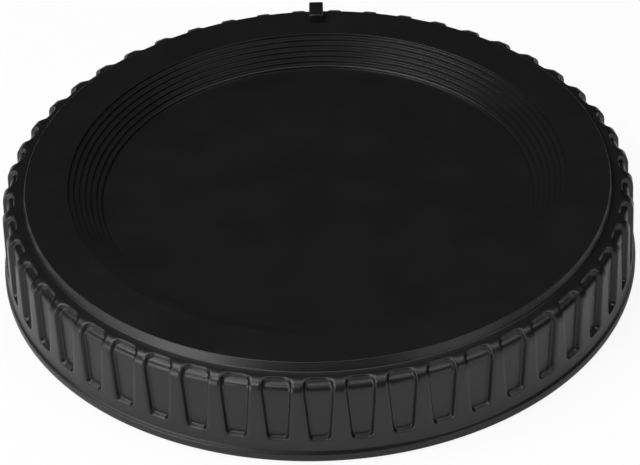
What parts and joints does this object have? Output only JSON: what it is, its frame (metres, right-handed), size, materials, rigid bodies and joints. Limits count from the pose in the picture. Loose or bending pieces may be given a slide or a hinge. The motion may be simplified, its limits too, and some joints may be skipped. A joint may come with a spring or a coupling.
{
  "type": "camera body cap",
  "caption": "Round moulded cap that covers a camera body's lens mount, with a stepped dished face, tapered finger pockets round its rim and a bayonet collar behind.",
  "frame": {"origin": "centre of the resting rim, on the flat plane that the cap stands on, on the cap's axis", "axes": "+Z along the cap's axis, out of the dished face, away from the camera body; +Y towards the raised index bar; +X completes the right-handed set"},
  "size_m": [0.062, 0.062, 0.0107],
  "materials": {
    "moulded_plastic": "black, fine satin grain"
  },
  "bodies": {
    "root": {"body_cap": "moulded_plastic"}
  },
  "joints": []
}
